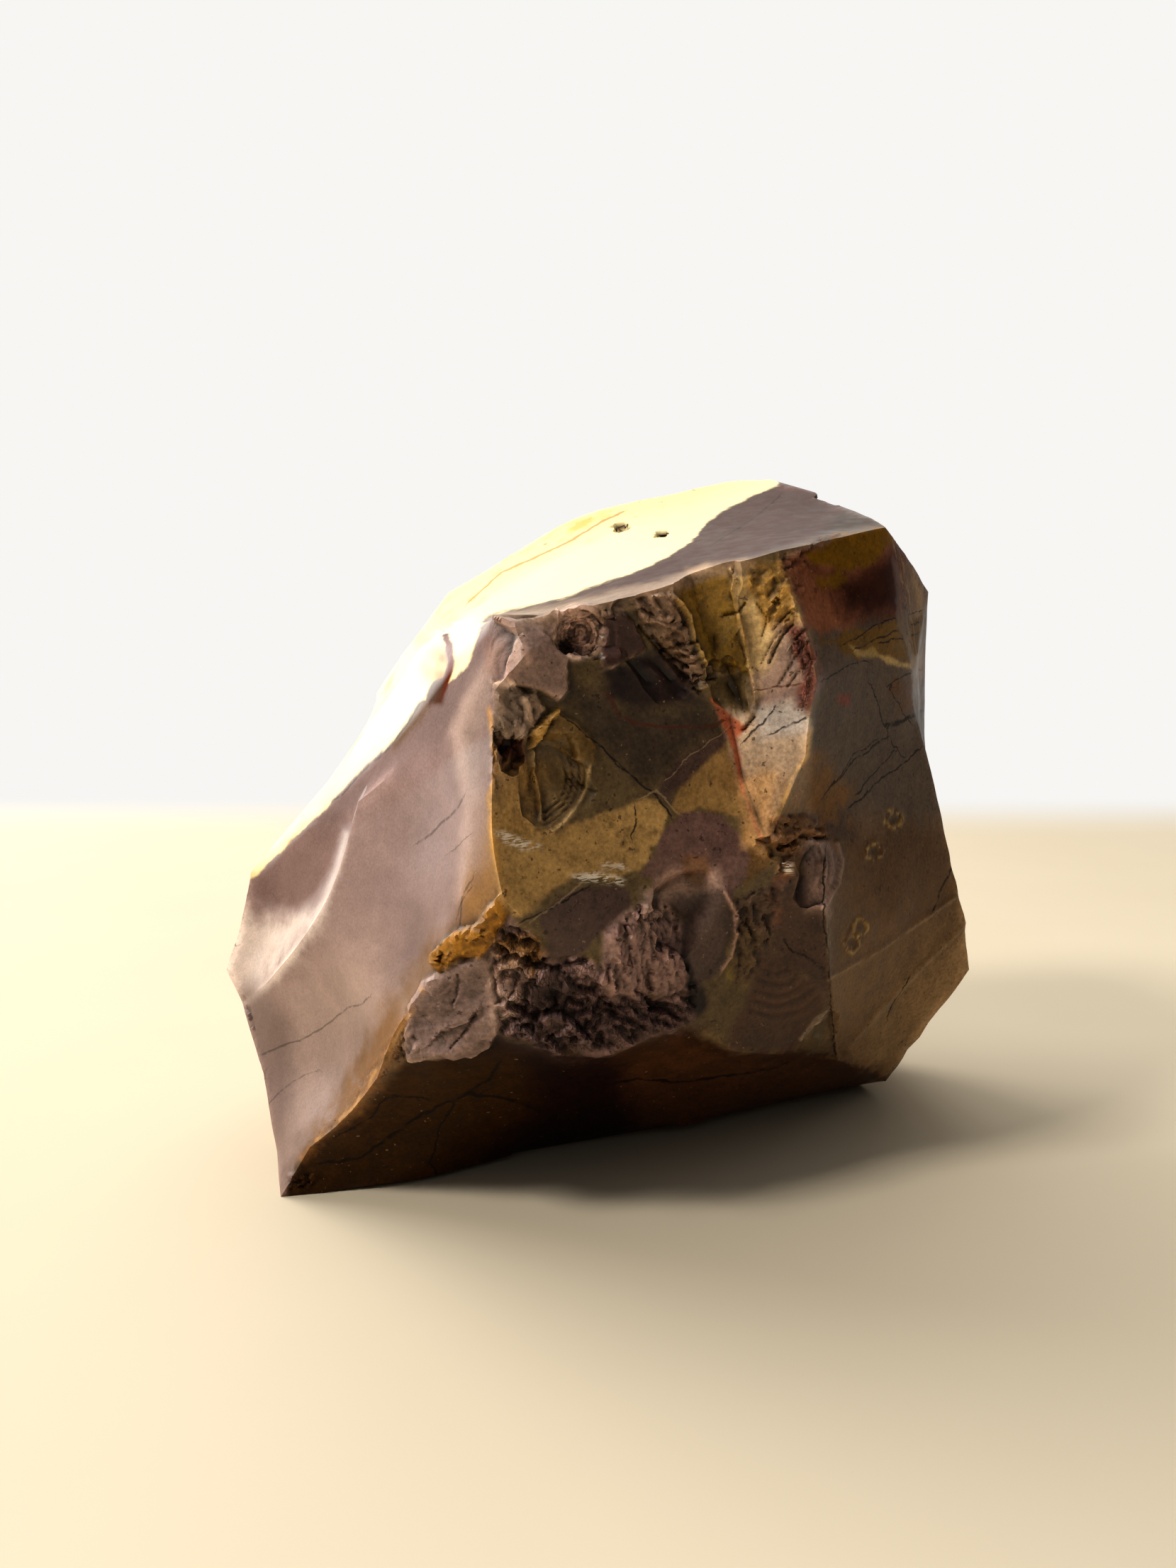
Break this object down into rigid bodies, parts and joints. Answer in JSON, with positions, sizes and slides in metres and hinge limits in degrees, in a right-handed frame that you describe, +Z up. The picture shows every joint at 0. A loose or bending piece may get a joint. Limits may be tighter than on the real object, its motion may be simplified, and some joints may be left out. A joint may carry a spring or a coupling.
{
  "type": "mookaite jasper stone",
  "caption": "Rough broken chunk of mookaite jasper with shell-hollowed fracture faces and sharp ridges, standing on a small flat spot.",
  "frame": {"origin": "on the surface the stone stands on, below the middle of its bounding box", "axes": "+Z up, -Y towards the front with the dark broken face, +X to the right as seen from the front, along the longest side"},
  "size_m": [0.1042, 0.0826, 0.0904],
  "materials": {
    "jasper": "satin, waxy on the smooth fractures and dull where crumbled"
  },
  "bodies": {
    "root": {"mookaite_jasper": "jasper"}
  },
  "joints": []
}
